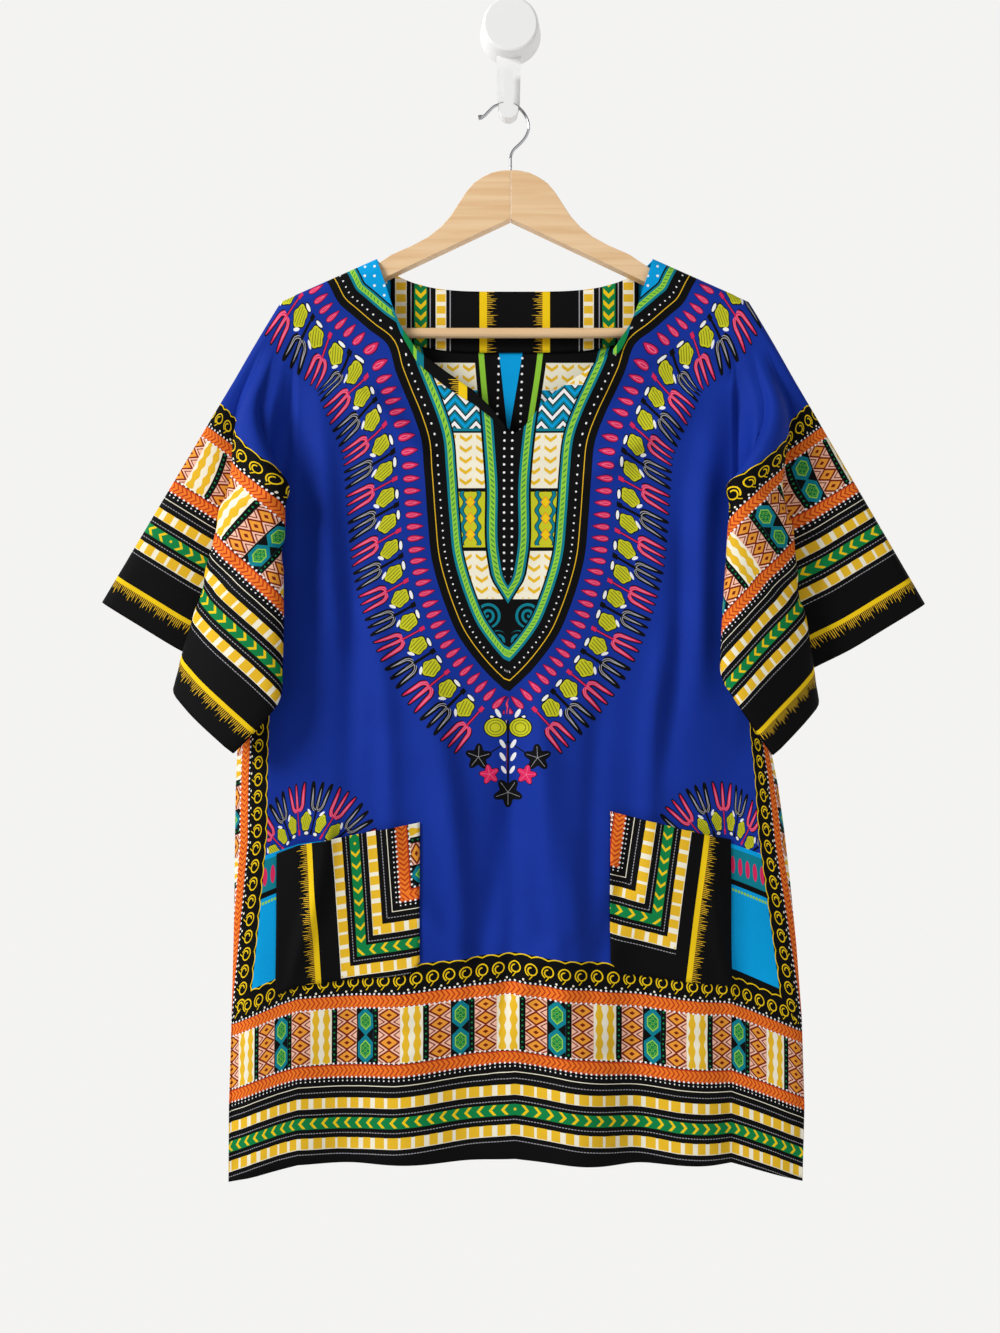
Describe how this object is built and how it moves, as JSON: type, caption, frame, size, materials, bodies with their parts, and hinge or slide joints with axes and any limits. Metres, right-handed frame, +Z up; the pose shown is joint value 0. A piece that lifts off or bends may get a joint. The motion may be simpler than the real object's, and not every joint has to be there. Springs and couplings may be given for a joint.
{
  "type": "dashiki shirt on a wooden hanger and a wall hook",
  "caption": "Loose short-sleeved shirt with a slit neck and two patch pockets, hanging from a wooden hanger on a round wall hook.",
  "frame": {"origin": "centre of the wall hook's back face, on the wall plane", "axes": "+X to the right as the shirt is seen, +Y into the wall, +Z up"},
  "size_m": [0.7653, 0.0721, 1.0989],
  "materials": {
    "cloth": "matte printed cotton",
    "trim_cloth": "matte printed cotton",
    "hanger_wood": "satin varnish",
    "wire": "polished",
    "white_plastic": "semi-gloss"
  },
  "bodies": {
    "root": {"front_panel": "cloth", "back_panel": "cloth", "neck_facing": "trim_cloth", "slit_flap_left": "trim_cloth", "slit_flap_right": "trim_cloth", "pocket_left": "trim_cloth", "pocket_right": "trim_cloth", "hanger_arm_left": "hanger_wood", "hanger_arm_right": "hanger_wood", "hanger_bar": "hanger_wood", "wire_hook": "wire", "wall_hook": "white_plastic"}
  },
  "joints": []
}
